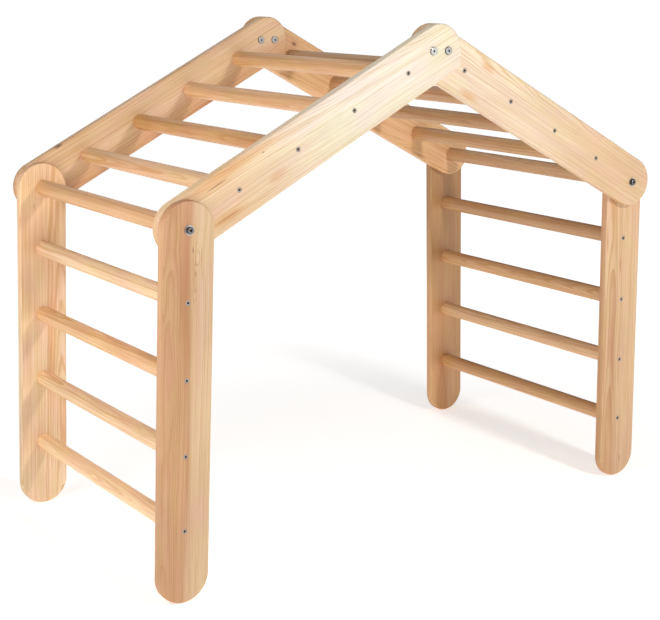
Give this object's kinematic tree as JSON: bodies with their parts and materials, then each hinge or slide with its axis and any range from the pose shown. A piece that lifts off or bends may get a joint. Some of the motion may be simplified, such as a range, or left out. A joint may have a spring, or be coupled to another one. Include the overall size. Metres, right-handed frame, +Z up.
{
  "type": "folding climbing frame",
  "caption": "House-shaped pine climbing frame: two ladder legs hinged to a pitched ladder roof, for climbing, hanging and crawling through.",
  "frame": {"origin": "on the floor, midway between the four feet, under the ridge", "axes": "+X along the span towards the right ladder, +Y along the rungs from the near side to the far side, +Z up"},
  "size_m": [1.2716, 0.7126, 1.0308],
  "materials": {
    "pine_board": "planed pine under a clear satin finish, long grain",
    "pine_dowel": "turned pine dowel under a clear satin finish",
    "screw_steel": "darkened zinc plate",
    "knee_bolt_steel": "zinc plate",
    "ridge_bolt_steel": "nickel plate",
    "washer_steel": "zinc plate",
    "insert_zinc": "cast zinc"
  },
  "bodies": {
    "roof": {"left_roof_far_rail": "pine_board", "left_roof_far_screws": "screw_steel", "left_roof_near_rail": "pine_board", "left_roof_near_screws": "screw_steel", "left_roof_rung_1": "pine_dowel", "left_roof_rung_2": "pine_dowel", "left_roof_rung_3": "pine_dowel", "left_roof_rung_4": "pine_dowel", "ridge_far_left_bolt": "ridge_bolt_steel", "ridge_far_left_sleeve_nut": "ridge_bolt_steel", "ridge_far_right_bolt": "ridge_bolt_steel", "ridge_far_right_sleeve_nut": "ridge_bolt_steel", "ridge_near_left_bolt": "ridge_bolt_steel", "ridge_near_left_sleeve_nut": "ridge_bolt_steel", "ridge_near_right_bolt": "ridge_bolt_steel", "ridge_near_right_sleeve_nut": "ridge_bolt_steel", "right_roof_far_rail": "pine_board", "right_roof_far_screws": "screw_steel", "right_roof_near_rail": "pine_board", "right_roof_near_screws": "screw_steel", "right_roof_rung_1": "pine_dowel", "right_roof_rung_2": "pine_dowel", "right_roof_rung_3": "pine_dowel", "right_roof_rung_4": "pine_dowel"},
    "left_ladder": {"left_knee_axle": "pine_dowel", "left_knee_far_bolt": "knee_bolt_steel", "left_knee_far_insert": "insert_zinc", "left_knee_far_washer": "washer_steel", "left_knee_near_bolt": "knee_bolt_steel", "left_knee_near_insert": "insert_zinc", "left_knee_near_washer": "washer_steel", "left_ladder_far_post": "pine_board", "left_ladder_far_screws": "screw_steel", "left_ladder_near_post": "pine_board", "left_ladder_near_screws": "screw_steel", "left_ladder_rung_1": "pine_dowel", "left_ladder_rung_2": "pine_dowel", "left_ladder_rung_3": "pine_dowel", "left_ladder_rung_4": "pine_dowel"},
    "right_ladder": {"right_knee_axle": "pine_dowel", "right_knee_far_bolt": "knee_bolt_steel", "right_knee_far_insert": "insert_zinc", "right_knee_far_washer": "washer_steel", "right_knee_near_bolt": "knee_bolt_steel", "right_knee_near_insert": "insert_zinc", "right_knee_near_washer": "washer_steel", "right_ladder_far_post": "pine_board", "right_ladder_far_screws": "screw_steel", "right_ladder_near_post": "pine_board", "right_ladder_near_screws": "screw_steel", "right_ladder_rung_1": "pine_dowel", "right_ladder_rung_2": "pine_dowel", "right_ladder_rung_3": "pine_dowel", "right_ladder_rung_4": "pine_dowel"}
  },
  "joints": [
    {"name": "left_knee", "type": "hinge", "parent": "roof", "child": "left_ladder", "pos_m": [-0.56325, 0, 0.68615], "axis": [0, -1, 0], "range_deg": [-207, 60]},
    {"name": "right_knee", "type": "hinge", "parent": "roof", "child": "right_ladder", "pos_m": [0.56325, 0, 0.68615], "axis": [0, 1, 0], "range_deg": [-207, 60]}
  ]
}
